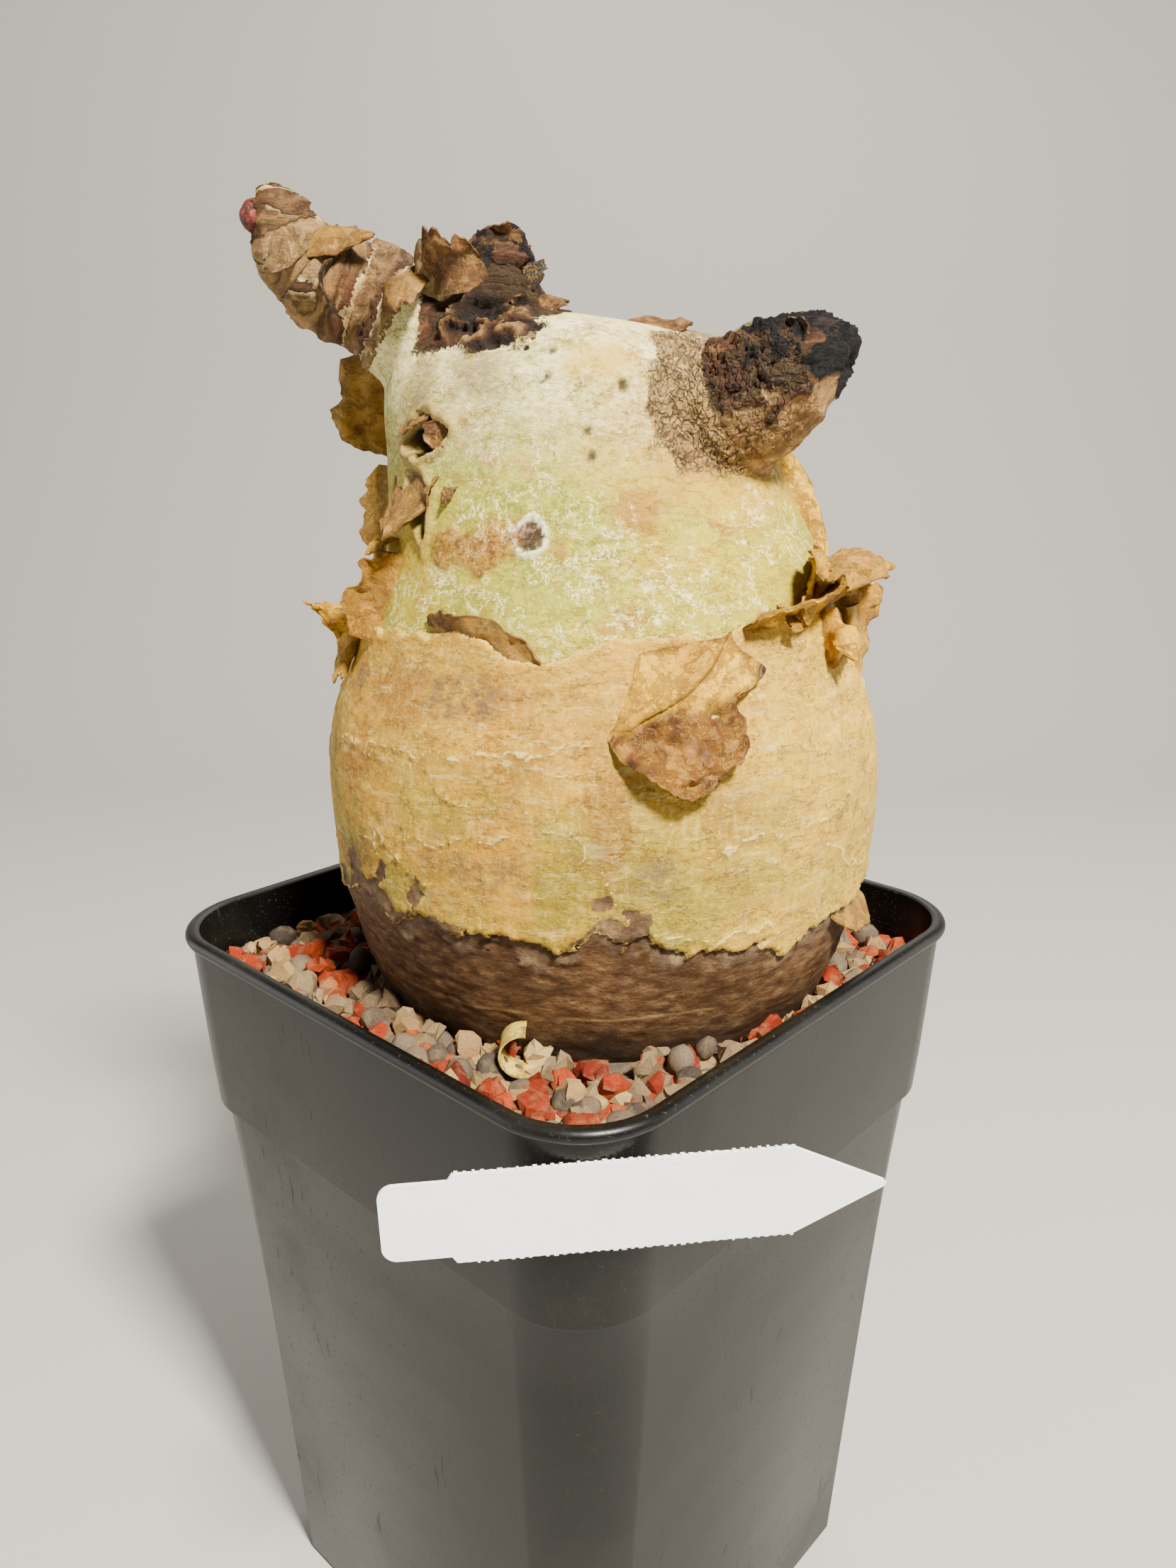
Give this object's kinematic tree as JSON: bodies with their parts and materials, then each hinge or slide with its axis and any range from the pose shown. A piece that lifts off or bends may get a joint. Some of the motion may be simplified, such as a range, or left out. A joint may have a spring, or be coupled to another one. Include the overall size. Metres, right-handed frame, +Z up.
{
  "type": "potted caudiciform succulent",
  "caption": "Leafless caudiciform succulent: a pear-shaped swollen trunk with cut branch stubs and peeling papery bark, in a deep square plastic pot topped with gravel, with a blank label.",
  "frame": {"origin": "centre of the pot's flat base, on the surface that it stands on", "axes": "+Z up the plant, -Y towards the side that it shows best, which a corner of the pot and the label face"},
  "size_m": [0.2582, 0.2617, 0.4914],
  "materials": {
    "pot": "satin dark olive-grey moulded plastic, dusty and scuffed",
    "potting_mix": "dark gritty mineral soil",
    "top_gravel": "mixed red lava, cream pumice and grey clay balls, matte",
    "caudex": "living bark: waxy grey-green skin above, tan papery bark below, brown torn edges",
    "fallen_peel": "dry papery bark",
    "plant_label": "plain white, slightly satin"
  },
  "bodies": {
    "root": {"pot": "pot", "potting_mix": "potting_mix", "top_gravel": "top_gravel", "caudex": "caudex", "fallen_peel": "fallen_peel", "plant_label": "plant_label"}
  },
  "joints": []
}
